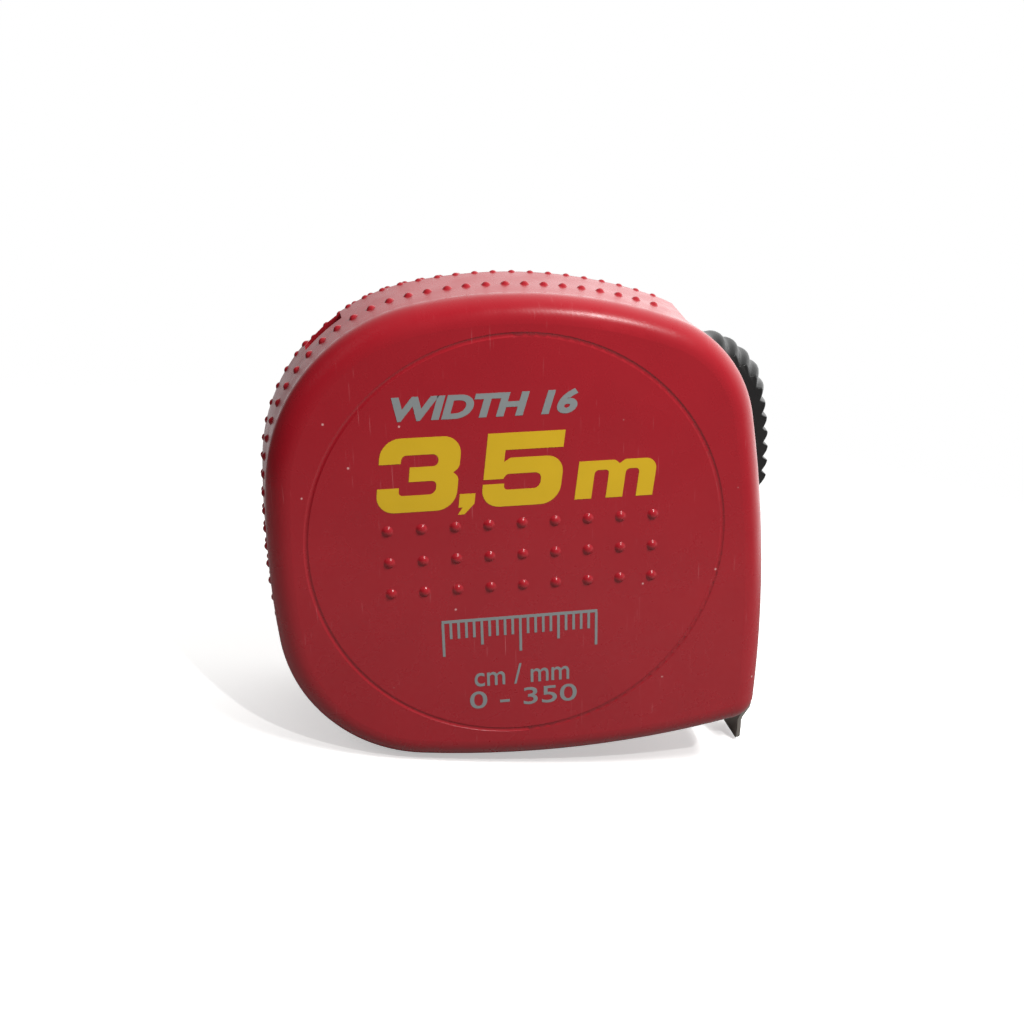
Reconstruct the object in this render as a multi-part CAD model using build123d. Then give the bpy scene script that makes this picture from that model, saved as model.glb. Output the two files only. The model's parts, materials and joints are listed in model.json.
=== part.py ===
from build123d import *
from math import atan, cos, degrees, pi, radians, sin, tan
import os

# Pocket tape measure with a 16 mm blade, a thumb lock and a sprung reel.
# Work frame: the reel turns about the Y axis through X = 0, Z = 0. The blade leaves towards +X,
# the labelled side is at -Y and +Z is up. Just before export everything is moved so that the
# origin is the bottom centre of the box round the whole object. All sizes are in millimetres.

# --- case outline, seen from the side: four gently bowed sides and four round corners
TOP_X, TOP_Z, TOP_R = -1.0, 31.0, 61.0            # crown of the top side and its bow radius
FRONT_X, FRONT_Z, FRONT_R = 33.4, -15.5, 169.0    # crown of the front side
BASE_X, BASE_Z, BASE_R = 4.8, -31.55, 130.0       # crown of the underside
REAR_X, REAR_Z, REAR_R = -31.45, -2.3, 110.0      # crown of the rear side
TOP_REAR_R, TOP_FRONT_R = 23.5, 16.5              # corner radii
BASE_FRONT_R, BASE_REAR_R = 4.2, 20.5
# --- case body
CASE_W = 28.0               # width across both shells
WALL = 1.8
EDGE_R = 3.2                # rounding between the side faces and the rim
DRAFT = 3.0                 # degrees by which the rim falls away from the parting plane to each side
RING_R = 26.0               # decorative ring groove on both side faces
RING_W, RING_D = 0.6, 0.12
SEAM_W, SEAM_D = 0.2, 0.15  # parting groove round the rim
BAND_RISE = 0.8             # grip band over the top and the rear, at the parting plane
BAND_W = 20.8               # across the band, which falls away to the rim at both edges
BAND_FROM, BAND_TO = 50.0, 208.0   # where the band starts and ends, degrees round the reel axis
GAP = 0.05                  # play of a seated piece
# --- screws that hold the shells together, driven from the +Y side
SCREW_R = 1.05
SCREW_HEAD_R, SCREW_HEAD_H = 1.9, 1.5
SCREW_LENGTH = 19.0
SCREW_SINK = 0.3            # head lies this far below the side face
SCREW_PLAY = 0.2
BOSS_WALL = 1.35
SCREWS = [(8.9, 25.4), (-25.2, 10.0), (-19.4, -19.0), (22.5, -17.9)]
# --- blade
BLADE_W = 16.0
BLADE_T = 0.15
BLADE_SAG = 2.2             # depth of the blade's curve across its width
BLADE_Z = -25.6             # lowest line of the blade's underside
BLADE_LENGTH = 3500.0
WIND_PITCH = 0.16           # blade thickness and air, turn to turn
TONGUE_TAIL = -18.0         # rear end of the straight stretch
TONGUE_TIP = 33.0
# --- reel
DRUM_R, DRUM_WALL, DRUM_W = 16.0, 1.2, 17.0
WEB_T = 1.2
SPINDLE_R = 3.0
SPINDLE_PLAY = 0.06         # radial running clearance of the reel on the spindle
HUB_R = 5.5
WASHER_T = 0.4
SPRING_T, SPRING_TURNS, SPRING_W = 0.3, 14, 13.0
SPRING_ROOM = 0.25          # air between the outermost turn and the drum
# --- hook and its rivets
HOOK_T = 0.6
HOOK_PLATE_W, HOOK_PLATE_L = 9.0, 10.0
HOOK_SHOULDER_W, HOOK_SHOULDER_Z = 13.0, -30.5
HOOK_TIP_W, HOOK_TIP_Z, HOOK_BEVEL = 6.4, -38.2, 2.0
HOOK_X = 33.2               # rear face of the hook tab, just in front of the case
HOOK_PLAY = 0.6             # true-zero travel, equal to the sheet thickness
RIVET_R, RIVET_HEAD_R, RIVET_HEAD_H = 0.9, 1.4, 0.35
RIVETS = [24.9, 30.4]
# --- mouth and the blade guide inside it
MOUTH_PLAY = 0.5            # beside the blade
MOUTH_TOP, MOUTH_BASE = 1.4, 1.7   # above the blade's edges, below its lowest line
GUIDE_REAR, GUIDE_FRONT = 6.0, 26.0
GUIDE_RELIEF = 1.3          # floor of the hook recess below the blade
# --- thumb lock
LOCK_X, LOCK_Z = 24.6, 8.0  # pivot
LOCK_W = 11.0
LOCK_PIN_R, LOCK_HUB_R = 1.2, 2.8
LOCK_PLAY = 0.3             # between the button and the edges of its slot
LOCK_TRAVEL = 10.0          # degrees
LOCK_FRONT_X, LOCK_FRONT_Z, LOCK_FRONT_R = 34.5, 6.5, 40.0   # crown of its front face
LOCK_TOP_X, LOCK_TOP_Z, LOCK_TOP_R = 20.0, 7.5, 16.0         # arc of its top
LOCK_CORNER_R = 8.0         # where the top arc meets the front face
LOCK_BASE_Z = 1.8           # foot of the button
LOCK_REAR = 1.0             # rear face behind the pivot
LOCK_SKIN = 2.2             # wall of the hollow thumb rest
TAIL_L, TAIL_T, TAIL_DROP = 4.5, 1.2, 1.4   # tail that closes the slot behind the button
TOOTH_PITCH, TOOTH_H = 2.0, 0.7
SLOT_BASE = -0.1            # lower end of the slot in the case front
# --- brake
BRAKE_X = 27.6
BRAKE_ROD_R = 1.5
BRAKE_TOP = 2.2
BRAKE_W, BRAKE_T = 7.0, 3.0
BRAKE_GUIDE_BASE, BRAKE_GUIDE_TOP = -16.0, -8.0
BRAKE_COLLAR_R, BRAKE_COLLAR_T, BRAKE_COLLAR_Z = 2.3, 1.0, -2.5
BRAKE_SLIDE = 0.1           # play of the brake in its guide
FOOT_W, FOOT_T, FOOT_TOP = 8.8, 3.2, -19.0
PAD_T, PAD_LIFT = 1.2, 0.8  # pad thickness and its height above the blade when released
PAD_CHANNEL = 3.6           # channel that lets the rivet heads pass
BRAKE_SPRING_WIRE, BRAKE_SPRING_TURNS = 0.4, 4
# --- strap pocket at the top rear corner
POCKET_X, POCKET_Z, POCKET_TILT = -22.1, 25.1, 42.0
POCKET_L, POCKET_W, POCKET_D = 6.0, 6.8, 3.6
POCKET_WALL = 1.2
STRAP_PIN_R, STRAP_PIN_L = 0.8, 9.6
# --- leaf spring that gives the lock its click
LEAF_T, LEAF_W = 0.3, 5.0

SIDE_Y = CASE_W / 2
ROOM_Y = SIDE_Y - WALL
BAND_FALL = degrees(atan(tan(radians(DRAFT)) + BAND_RISE / (BAND_W / 2)))
SECTION_R = (BLADE_W ** 2 / 4 + BLADE_SAG ** 2) / (2 * BLADE_SAG)   # underside of the blade
SECTION_Z = BLADE_Z + SECTION_R
COIL_R = (DRUM_R ** 2 + BLADE_LENGTH * WIND_PITCH / pi) ** 0.5
DRUM_Y = DRUM_W / 2
SPRING_PITCH = (DRUM_R - DRUM_WALL - SPRING_ROOM - SPRING_T - SPINDLE_R - GAP) / SPRING_TURNS
HUB_Y = DRUM_Y + WASHER_T + 2 * GAP
BOSS_R = SCREW_R + BOSS_WALL
FAR = 60.0                  # larger than the object, for cutting shapes


def prism(face, y_from, y_to):
    """Solid of a flat shape drawn as (X, Z), between two places across the width."""
    return Pos(0, y_to, 0) * extrude(Plane.XZ * face, amount=y_to - y_from)


def bar(face, x_from, x_to):
    """Solid of a flat shape drawn as (Y, Z), between two places along the blade."""
    return Pos(x_from, 0, 0) * extrude(Plane.YZ * face, amount=x_to - x_from)


def drafted(face, half_width, fall=DRAFT):
    """Solid of a flat (X, Z) shape that is widest at the parting plane, as the moulds need it."""
    half = prism(face, 0, half_width)
    rim = [f for f in half.faces() if abs(f.normal_at(f.center()).Y) < 0.5]
    half = draft(rim, Plane.XZ, -fall)
    return half + mirror(half, about=Plane.XZ)


def block(x_from, x_to, y_from, y_to, z_from, z_to):
    centre = Pos((x_from + x_to) / 2, (y_from + y_to) / 2, (z_from + z_to) / 2)
    return centre * Box(x_to - x_from, y_to - y_from, z_to - z_from)


def rod(x, z, radius, y_from, y_to):
    """Round bar along Y."""
    return prism(Pos(x, z) * Circle(radius), y_from, y_to)


def round_corner(face, toward, radius):
    corner = face.vertices().sort_by(lambda v: v.X * toward[0] + v.Y * toward[1])[-1]
    return fillet(corner, radius)


def outline(grow=0.0):
    """Side outline of the case, moved outwards by grow."""
    face = Pos(TOP_X, TOP_Z - TOP_R) * Circle(TOP_R + grow)
    face = face & Pos(FRONT_X - FRONT_R, FRONT_Z) * Circle(FRONT_R + grow)
    face = face & Pos(BASE_X, BASE_Z + BASE_R) * Circle(BASE_R + grow)
    face = face & Pos(REAR_X + REAR_R, REAR_Z) * Circle(REAR_R + grow)
    face = round_corner(face, (-1, 1), TOP_REAR_R + grow)
    face = round_corner(face, (1, 1), TOP_FRONT_R + grow)
    face = round_corner(face, (1, -1), BASE_FRONT_R + grow)
    return round_corner(face, (-1, -1), BASE_REAR_R + grow)


def polar(radius, angle):
    return (radius * cos(radians(angle)), radius * sin(radians(angle)))


def band_sector():
    """Fan that keeps the part of the rim that carries the grip band."""
    third = (BAND_TO - BAND_FROM) / 3
    rays = [polar(2 * FAR, BAND_FROM + step * third) for step in range(4)]
    return make_face(Polyline([(0, 0)] + rays, close=True))


def case_block():
    """Both shells as one solid body, with the grip band, ring grooves and parting groove."""
    body = drafted(outline(), SIDE_Y)
    rims = [e for e in body.edges() if abs(abs(e.center().Y) - SIDE_Y) < 1e-3]
    body = fillet(rims, EDGE_R)
    band = drafted(outline(BAND_RISE), BAND_W / 2 + 0.4, BAND_FALL)
    body = body + (band & prism(band_sector(), -SIDE_Y, SIDE_Y))
    groove_r = (RING_W ** 2 / 4 + RING_D ** 2) / (2 * RING_D)
    groove = Rot(90, 0, 0) * Torus(RING_R, groove_r)
    for side in (-1, 1):
        body = body - Pos(0, side * (SIDE_Y + groove_r - RING_D), 0) * groove
    seam = prism(outline(FAR / 20) - outline(-SEAM_D), -SEAM_W / 2, SEAM_W / 2)
    seam_band = prism(outline(BAND_RISE - SEAM_D) & band_sector(), -SEAM_W, SEAM_W)
    return body - (seam - seam_band)


def pocket(grow, depth):
    """Box of the strap pocket, sunk from the grip band along its own tilt."""
    length, width = POCKET_L + 2 * grow, POCKET_W + 2 * grow
    box = Box(length, width, depth + WALL, align=(Align.CENTER, Align.CENTER, Align.MAX))
    return Pos(POCKET_X, 0, POCKET_Z) * Rot(0, -POCKET_TILT, 0) * Pos(0, 0, WALL) * box


def shell_room():
    return drafted(outline(-WALL), ROOM_Y)


def mouth_cut():
    edge = BLADE_Z + BLADE_SAG + MOUTH_TOP
    half = BLADE_W / 2 + MOUTH_PLAY
    return block(FRONT_X - 2 * WALL, FAR, -half, half, BLADE_Z - MOUTH_BASE, edge)


def button_slot():
    half = LOCK_W / 2 + LOCK_PLAY
    return block(LOCK_X - LOCK_REAR - LOCK_PLAY, FAR, -half, half, SLOT_BASE, FAR)


def brake_guide():
    """Square well on both shells in which the brake slides up and down."""
    half_t, half_w = BRAKE_T / 2 + BRAKE_SLIDE, BRAKE_W / 2 + BRAKE_SLIDE
    rib = 1.2
    outer = block(BRAKE_X - half_t - rib, BRAKE_X + half_t + rib, -ROOM_Y, ROOM_Y,
                  BRAKE_GUIDE_BASE, BRAKE_GUIDE_TOP)
    inner = block(BRAKE_X - half_t, BRAKE_X + half_t, -half_w, half_w,
                  BRAKE_GUIDE_BASE, BRAKE_GUIDE_TOP)
    middle = block(0, FAR, -1, 1, BRAKE_GUIDE_BASE, BRAKE_GUIDE_TOP)
    return outer - inner - middle


def shell(side):
    """One half of the case. side is -1 for the labelled half, +1 for the half with the screws."""
    half = case_block() & block(-2 * FAR, 2 * FAR, *sorted((0, side * FAR)), -2 * FAR, 2 * FAR)
    body = half - shell_room()
    inner = [0, side * ROOM_Y]
    body = body + (pocket(POCKET_WALL, POCKET_D + POCKET_WALL) & half)
    for x, z in SCREWS:
        body = body + (rod(x, z, BOSS_R, *sorted(inner)) & half)
    body = body + rod(0, 0, HUB_R, *sorted((side * HUB_Y, side * ROOM_Y)))
    pin_seat = LOCK_W / 2 + LOCK_PLAY
    body = body + rod(LOCK_X, LOCK_Z, LOCK_PIN_R + 1.4, *sorted((side * pin_seat, side * ROOM_Y)))
    body = body + (brake_guide() & shell_room() & half)
    body = body - pocket(0, POCKET_D) - mouth_cut() - button_slot()
    body = body - rod(0, 0, SPINDLE_R, *sorted((0, side * (ROOM_Y + WALL / 3))))
    body = body - rod(LOCK_X, LOCK_Z, LOCK_PIN_R, *sorted((0, side * ROOM_Y)))
    body = body - strap_pin_shape()
    for x, z in SCREWS:
        body = body - screw_hole(x, z)
    return body


def screw_top():
    return SIDE_Y - SCREW_SINK


def screw_hole(x, z):
    head_y = screw_top() - SCREW_HEAD_H
    hole = rod(x, z, SCREW_R, screw_top() - SCREW_LENGTH, 0)
    hole = hole + rod(x, z, SCREW_R + SCREW_PLAY, 0, FAR)
    return hole + rod(x, z, SCREW_HEAD_R + SCREW_PLAY, head_y, FAR)


def case_screw(x, z):
    top = screw_top()
    screw = rod(x, z, SCREW_R, top - SCREW_LENGTH, top - SCREW_HEAD_H)
    head = rod(x, z, SCREW_HEAD_R, top - SCREW_HEAD_H, top)
    cross = Pos(x, top, z) * (Box(2.2, 1.6, 0.5) + Box(0.5, 1.6, 2.2))
    return screw + head - cross


def strap_pin_shape():
    centre = Pos(POCKET_X, 0, POCKET_Z) * Rot(0, -POCKET_TILT, 0) * Pos(0, 0, -STRAP_PIN_R - 0.4)
    return centre * Rot(90, 0, 0) * Cylinder(STRAP_PIN_R, STRAP_PIN_L)


def spindle():
    end = ROOM_Y + WALL / 3
    post = rod(0, 0, SPINDLE_R, -end, end)
    slot = block(0, SPINDLE_R + 1, -SPRING_W / 2 - 0.5, SPRING_W / 2 + 0.5, -0.35, 0.35)
    return post - slot


def washer(side):
    faces = sorted((side * (DRUM_Y + GAP), side * (DRUM_Y + GAP + WASHER_T)))
    return rod(0, 0, HUB_R, *faces) - rod(0, 0, SPINDLE_R + SPINDLE_PLAY, -FAR, FAR)


def blade_section(under, thickness, width):
    """Curved cross-section as (Y, Z). under is the radius of its lower face."""
    ring = Circle(under) - Circle(under - thickness)
    return Pos(0, SECTION_Z) * (ring & Pos(0, -under) * Rectangle(width, under))


def blade_guide():
    """Insert on the case floor that carries the blade and leaves room for the hook plate."""
    half = BLADE_W / 2 + MOUTH_PLAY - GAP
    body = drafted(outline(-WALL - GAP), ROOM_Y)
    body = body & block(GUIDE_REAR, GUIDE_FRONT, -half, half, -FAR, BLADE_Z + BLADE_SAG)
    body = body - bar(Pos(0, SECTION_Z) * Circle(SECTION_R + 3 * GAP), -FAR, FAR)
    floor = BLADE_Z - GUIDE_RELIEF
    start = HOOK_X + HOOK_T - HOOK_PLATE_L - 1
    return body - block(start, FAR, -FAR, FAR, floor, FAR)


def drum():
    body = rod(0, 0, DRUM_R, -DRUM_Y, DRUM_Y)
    body = body - rod(0, 0, DRUM_R - DRUM_WALL, -DRUM_Y + WEB_T, DRUM_Y)
    body = body - rod(0, 0, SPINDLE_R + SPINDLE_PLAY, -FAR, FAR)
    return body - anchor_shape()


def drum_cover():
    lid = rod(0, 0, DRUM_R - DRUM_WALL, DRUM_Y - WEB_T, DRUM_Y)
    lid = lid - rod(0, 0, SPINDLE_R + SPINDLE_PLAY, -FAR, FAR)
    windows = [rod(*polar(9.0, 60 * step), 2.4, -FAR, FAR) for step in range(6)]
    return lid - windows


def anchor_shape():
    """Stud that holds the blade's inner end on the drum."""
    shank = Pos(0, 0, DRUM_R - DRUM_WALL / 2) * Cylinder(1.2, DRUM_WALL)
    head = Pos(0, 0, DRUM_R - DRUM_WALL - 0.2) * Cylinder(1.8, 0.4)
    return Rot(0, 180, 0) * (shank + head)


def half_turns(radius, pitch, turns):
    """Spiral line made of half circles, whose centres swap sides by half the pitch."""
    arcs = []
    for step in range(turns):
        r = radius + step * pitch
        arcs.append(CenterArc((0, 0), r, 0, 180))
        arcs.append(CenterArc((pitch / 2, 0), r + pitch / 2, 180, 180))
    return arcs


def power_spring():
    start, end = SPINDLE_R + GAP, SPINDLE_R + GAP + SPRING_PITCH * SPRING_TURNS
    inner = half_turns(start, SPRING_PITCH, SPRING_TURNS)
    outer = half_turns(start + SPRING_T, SPRING_PITCH, SPRING_TURNS)
    caps = [Line((start, 0), (start + SPRING_T, 0)), Line((end, 0), (end + SPRING_T, 0))]
    return prism(make_face(Wire(inner + outer + caps)), -SPRING_W / 2, SPRING_W / 2)


def blade_coil():
    ring = Circle(COIL_R) - Circle(DRUM_R + GAP)
    return prism(ring, -BLADE_W / 2, BLADE_W / 2)


def rivet_shape(x, radius):
    return Pos(x, 0, BLADE_Z) * Cylinder(radius, 2 * (HOOK_T + 1))


def blade_tongue():
    strip = bar(blade_section(SECTION_R, BLADE_T, BLADE_W), TONGUE_TAIL, TONGUE_TIP)
    for x in RIVETS:
        strip = strip - rivet_shape(x, RIVET_R)
    return strip


def hook():
    rear = HOOK_X + HOOK_T - HOOK_PLATE_L
    under = SECTION_R + GAP + HOOK_T
    plate = bar(blade_section(under, HOOK_T, HOOK_PLATE_W), rear, HOOK_X + HOOK_T)
    side, tip = HOOK_SHOULDER_W / 2, HOOK_TIP_W / 2
    top = BLADE_Z - GAP - HOOK_T / 2
    right = [(HOOK_PLATE_W / 2, top), (side, top - 1), (side, HOOK_SHOULDER_Z + 1.5),
             (tip, HOOK_SHOULDER_Z - 1.5), (tip, HOOK_TIP_Z + HOOK_BEVEL), (tip - HOOK_BEVEL, HOOK_TIP_Z)]
    left = [(-y, z) for y, z in reversed(right)]
    tab = bar(make_face(Polyline(right + left, close=True)), HOOK_X, HOOK_X + HOOK_T)
    body = plate + tab
    for x in RIVETS:
        slot = SlotCenterToCenter(HOOK_PLAY, 2 * (RIVET_R + GAP))
        body = body - Pos(x - HOOK_PLAY / 2, 0, BLADE_Z - 2) * extrude(slot, amount=4)
    return body


def hook_rivet(x):
    top = BLADE_Z + BLADE_T + 0.1
    base = BLADE_Z - GAP - HOOK_T - 0.1
    shank = Pos(x, 0, (top + base) / 2) * Cylinder(RIVET_R, top - base)
    upper = Pos(x, 0, top + RIVET_HEAD_H / 2) * Cylinder(RIVET_HEAD_R, RIVET_HEAD_H)
    lower = Pos(x, 0, base - RIVET_HEAD_H / 2) * Cylinder(RIVET_HEAD_R, RIVET_HEAD_H)
    return shank + upper + lower


def button_outline(grow=0.0):
    """Side outline of the thumb button, without its ridges."""
    face = Pos(LOCK_FRONT_X - LOCK_FRONT_R, LOCK_FRONT_Z) * Circle(LOCK_FRONT_R + grow)
    face = face & Pos(LOCK_TOP_X, LOCK_TOP_Z) * Circle(LOCK_TOP_R + grow)
    face = face & Pos(LOCK_X - LOCK_REAR + FAR / 2, LOCK_BASE_Z + FAR / 2) * Rectangle(FAR, FAR)
    corner = face.vertices().sort_by(lambda v: v.X + v.Y)[-1]
    return fillet(corner, LOCK_CORNER_R + grow)


def ridge(spot, outward):
    """One ridge across the button, steep on its upper side. outward is the way its tip points."""
    tooth = make_face(Polyline((-TOOTH_H, 0.45 * TOOTH_PITCH), (TOOTH_H, 0.3), (TOOTH_H, 0.05),
                               (-TOOTH_H, -0.55 * TOOTH_PITCH), close=True))
    return Pos(spot.X, spot.Y) * Rot(0, 0, outward) * tooth


def ridge_places():
    """Places and directions along the thumb rest, from its foot to its top, one pitch apart."""
    curved = [e for e in button_outline().edges() if e.geom_type == GeomType.CIRCLE]
    rest = Wire(curved)
    start = rest if (rest @ 0).Y < (rest @ 1).Y else Wire(rest.reversed())
    count = int(rest.length / TOOTH_PITCH)
    places = []
    for step in range(count):
        along = (step + 0.5) / count
        forward = start % along
        outward = Vector(1, 0, 0).get_signed_angle(Vector(forward.Y, -forward.X, 0), Vector(0, 0, 1))
        places.append((start @ along, outward))
    return places


def lock_button():
    half = LOCK_W / 2
    face = button_outline()
    for spot, outward in ridge_places():
        face = face + ridge(spot, outward)
    body = prism(face, -half, half)
    body = body - block(0, BRAKE_X + BRAKE_T, -FAR, FAR, -FAR, BRAKE_TOP + GAP)
    room = button_outline(-LOCK_SKIN) & Pos(0, LOCK_Z + LOCK_HUB_R + FAR / 2) * Rectangle(2 * FAR, FAR)
    body = body - prism(room, LOCK_SKIN - half, half - LOCK_SKIN)
    rear = LOCK_X - LOCK_REAR
    top = LOCK_TOP_Z + LOCK_TOP_R - TAIL_DROP
    tail = block(rear - TAIL_L, rear + LOCK_SKIN, -half, half, top - TAIL_T, top)
    hub = rod(LOCK_X, LOCK_Z, LOCK_HUB_R, -half, half)
    return body + hub + tail - rod(LOCK_X, LOCK_Z, LOCK_PIN_R + GAP, -FAR, FAR)


def lock_pin():
    return rod(LOCK_X, LOCK_Z, LOCK_PIN_R, -ROOM_Y, ROOM_Y)


def brake_plunger():
    neck = block(BRAKE_X - BRAKE_T / 2, BRAKE_X + BRAKE_T / 2, -BRAKE_W / 2, BRAKE_W / 2,
                 FOOT_TOP, BRAKE_GUIDE_TOP + BRAKE_SLIDE)
    stem_top = BRAKE_TOP - BRAKE_ROD_R
    stem_h = stem_top - BRAKE_GUIDE_TOP
    stem = Pos(BRAKE_X, 0, stem_top - stem_h / 2) * Cylinder(BRAKE_ROD_R, stem_h)
    stem = stem + Pos(BRAKE_X, 0, stem_top) * Sphere(BRAKE_ROD_R)
    collar = Pos(BRAKE_X, 0, BRAKE_COLLAR_Z + BRAKE_COLLAR_T / 2) * Cylinder(BRAKE_COLLAR_R, BRAKE_COLLAR_T)
    foot = block(BRAKE_X - FOOT_T / 2, BRAKE_X + FOOT_T / 2, -FOOT_W / 2, FOOT_W / 2,
                 BLADE_Z, FOOT_TOP)
    pad_top = SECTION_R - BLADE_T - PAD_LIFT - PAD_T
    foot = foot & bar(Pos(0, SECTION_Z) * Circle(pad_top), 0, FAR)
    return neck + stem + collar + foot


def brake_pad():
    """Rubber pad under the brake's foot, in two strips beside the rivets' channel."""
    under = SECTION_R - BLADE_T - PAD_LIFT
    pad = bar(blade_section(under, PAD_T, FOOT_W), BRAKE_X - FOOT_T / 2, BRAKE_X + FOOT_T / 2)
    channel = block(0, FAR, -PAD_CHANNEL / 2, PAD_CHANNEL / 2, -FAR, SECTION_Z - under + PAD_T / 2)
    return pad - channel


def brake_spring():
    low = BRAKE_GUIDE_TOP + BRAKE_SLIDE + BRAKE_SPRING_WIRE / 2 + GAP
    high = BRAKE_COLLAR_Z - BRAKE_SPRING_WIRE / 2 - GAP
    radius = BRAKE_ROD_R + GAP + 0.2 + BRAKE_SPRING_WIRE / 2
    line = Helix(pitch=(high - low) / BRAKE_SPRING_TURNS, height=high - low, radius=radius)
    section = Plane(origin=line @ 0, z_dir=line % 0) * Circle(BRAKE_SPRING_WIRE / 2)
    return Pos(BRAKE_X, 0, low) * sweep(section, path=line, is_frenet=True)


def detent_spring():
    """Leaf spring clipped round the upper screw boss, with its arm behind the button's tail."""
    x, z = SCREWS[0]
    ring = Circle(BOSS_R + GAP + LEAF_T) - Circle(BOSS_R + GAP)
    opening = Pos(0, 0.3 + BOSS_R) * Rectangle(4 * BOSS_R, 2 * BOSS_R)
    clip = Pos(x, z) * (ring - opening)
    base_z = z - BOSS_R - GAP - LEAF_T / 2
    tip_x = LOCK_X - LOCK_REAR - TAIL_L - LEAF_T
    tip_z = LOCK_TOP_Z + LOCK_TOP_R - TAIL_DROP
    arm = Polyline((x, base_z), (x + 4, base_z), (tip_x - 1.5, tip_z + 1), (tip_x - 0.4, tip_z - 0.6))
    return prism(clip + trace(arm, LEAF_T), -LEAF_W / 2, LEAF_W / 2)


NODES = {
    "left_shell": lambda: shell(-1),
    "right_shell": lambda: shell(1),
    "case_screws": lambda: [case_screw(x, z) for x, z in SCREWS],
    "strap_pin": strap_pin_shape,
    "spindle_post": spindle,
    "thrust_washers": lambda: [washer(-1), washer(1)],
    "blade_guide": blade_guide,
    "reel_drum": drum,
    "reel_cover": drum_cover,
    "power_spring": power_spring,
    "blade_anchor": anchor_shape,
    "blade_coil": blade_coil,
    "blade_tongue": blade_tongue,
    "hook": hook,
    "hook_rivets": lambda: [hook_rivet(x) for x in RIVETS],
    "lock_button": lock_button,
    "lock_pivot_pin": lock_pin,
    "detent_spring": detent_spring,
    "brake_plunger": brake_plunger,
    "brake_pad": brake_pad,
    "brake_spring": brake_spring,
}


def solids_of(shape):
    pieces = shape if isinstance(shape, list) else [shape]
    return [solid for piece in pieces for solid in piece.solids()]


def main():
    os.makedirs("parts", exist_ok=True)
    nodes = {name: solids_of(make()) for name, make in NODES.items()}
    box = Compound([s for solids in nodes.values() for s in solids]).bounding_box()
    shift = Pos(-(box.min.X + box.max.X) / 2, 0, -box.min.Z)
    for name, solids in nodes.items():
        moved = [shift * solid for solid in solids]
        export_step(moved[0] if len(moved) == 1 else Compound(moved), f"parts/{name}.step")
    reel = shift.position
    print("reel axis x, z:", round(reel.X, 3), round(reel.Z, 3), "coil radius", round(COIL_R, 3))
    print("lock pivot x, z:", round(reel.X + LOCK_X, 3), round(reel.Z + LOCK_Z, 3))


main()
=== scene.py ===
import json
import math

import bmesh
import bpy
from bpy.props import FloatProperty, FloatVectorProperty, IntProperty, PointerProperty, StringProperty
from mathutils import Euler, Matrix, Vector
from mathutils.bvhtree import BVHTree


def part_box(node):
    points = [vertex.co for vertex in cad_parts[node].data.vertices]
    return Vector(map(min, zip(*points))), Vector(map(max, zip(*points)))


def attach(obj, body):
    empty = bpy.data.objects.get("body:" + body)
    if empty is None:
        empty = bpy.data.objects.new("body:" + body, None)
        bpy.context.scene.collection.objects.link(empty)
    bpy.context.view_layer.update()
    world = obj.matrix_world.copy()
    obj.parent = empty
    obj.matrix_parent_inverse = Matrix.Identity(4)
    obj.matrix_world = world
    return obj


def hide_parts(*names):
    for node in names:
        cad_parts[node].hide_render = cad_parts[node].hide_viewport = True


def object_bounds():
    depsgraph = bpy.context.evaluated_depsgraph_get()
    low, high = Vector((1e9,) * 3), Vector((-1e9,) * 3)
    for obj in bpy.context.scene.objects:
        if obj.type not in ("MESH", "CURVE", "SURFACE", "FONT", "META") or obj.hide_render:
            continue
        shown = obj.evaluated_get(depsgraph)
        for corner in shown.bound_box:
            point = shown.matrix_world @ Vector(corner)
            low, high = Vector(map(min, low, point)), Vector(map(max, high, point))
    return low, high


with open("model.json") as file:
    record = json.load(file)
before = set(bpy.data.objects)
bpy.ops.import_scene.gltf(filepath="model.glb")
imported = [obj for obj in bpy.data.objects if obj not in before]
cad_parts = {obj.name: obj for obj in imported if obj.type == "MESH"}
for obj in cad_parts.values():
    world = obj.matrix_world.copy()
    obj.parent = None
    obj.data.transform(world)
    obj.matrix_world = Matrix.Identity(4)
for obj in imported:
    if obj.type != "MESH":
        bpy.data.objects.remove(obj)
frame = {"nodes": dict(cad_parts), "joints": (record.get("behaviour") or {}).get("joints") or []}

bl_info = {
    "name": "Pocket tape measure",
    "version": (1, 0, 0),
    "blender": (4, 5, 0),
    "location": "3D View > Sidebar > Tape measure",
    "description": "Builds a pocket tape measure's pieces, finishes and studio round its CAD frame",
    "category": "Object",
}

CAD_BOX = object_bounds()
MM = 0.001
JOINTS = {joint["name"]: joint for joint in frame["joints"]}
REEL = Vector(JOINTS["reel_spin"]["pos_m"])          # middle of the reel axis
FACE_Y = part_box("left_shell")[0].y                   # outside of the labelled side
BLADE_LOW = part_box("blade_tongue")[0]
HOOK_LOW, HOOK_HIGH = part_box("hook")
# sizes that several pieces share, in millimetres
INK_FOOT = 0.02         # how far the ink on the case reaches into it
INK_LIFT = 0.012        # height of the scale's ink over the lacquer
BLADE_THICK = 0.15
LOCK_REAR = 23.6        # rear end of the thumb rest, from the reel axis


# --- helpers -------------------------------------------------------------------------------

def at(x, y, z):
    """Point in metres for millimetres measured from the middle of the reel axis."""
    return REEL + Vector((x, y, z)) * MM


def linear(hex_colour):
    """Linear RGBA of an sRGB colour such as "#A01F2A"."""
    channels = [int(hex_colour[i:i + 2], 16) / 255 for i in (1, 3, 5)]
    return [c / 12.92 if c <= 0.04045 else ((c + 0.055) / 1.055) ** 2.4 for c in channels] + [1.0]


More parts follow.
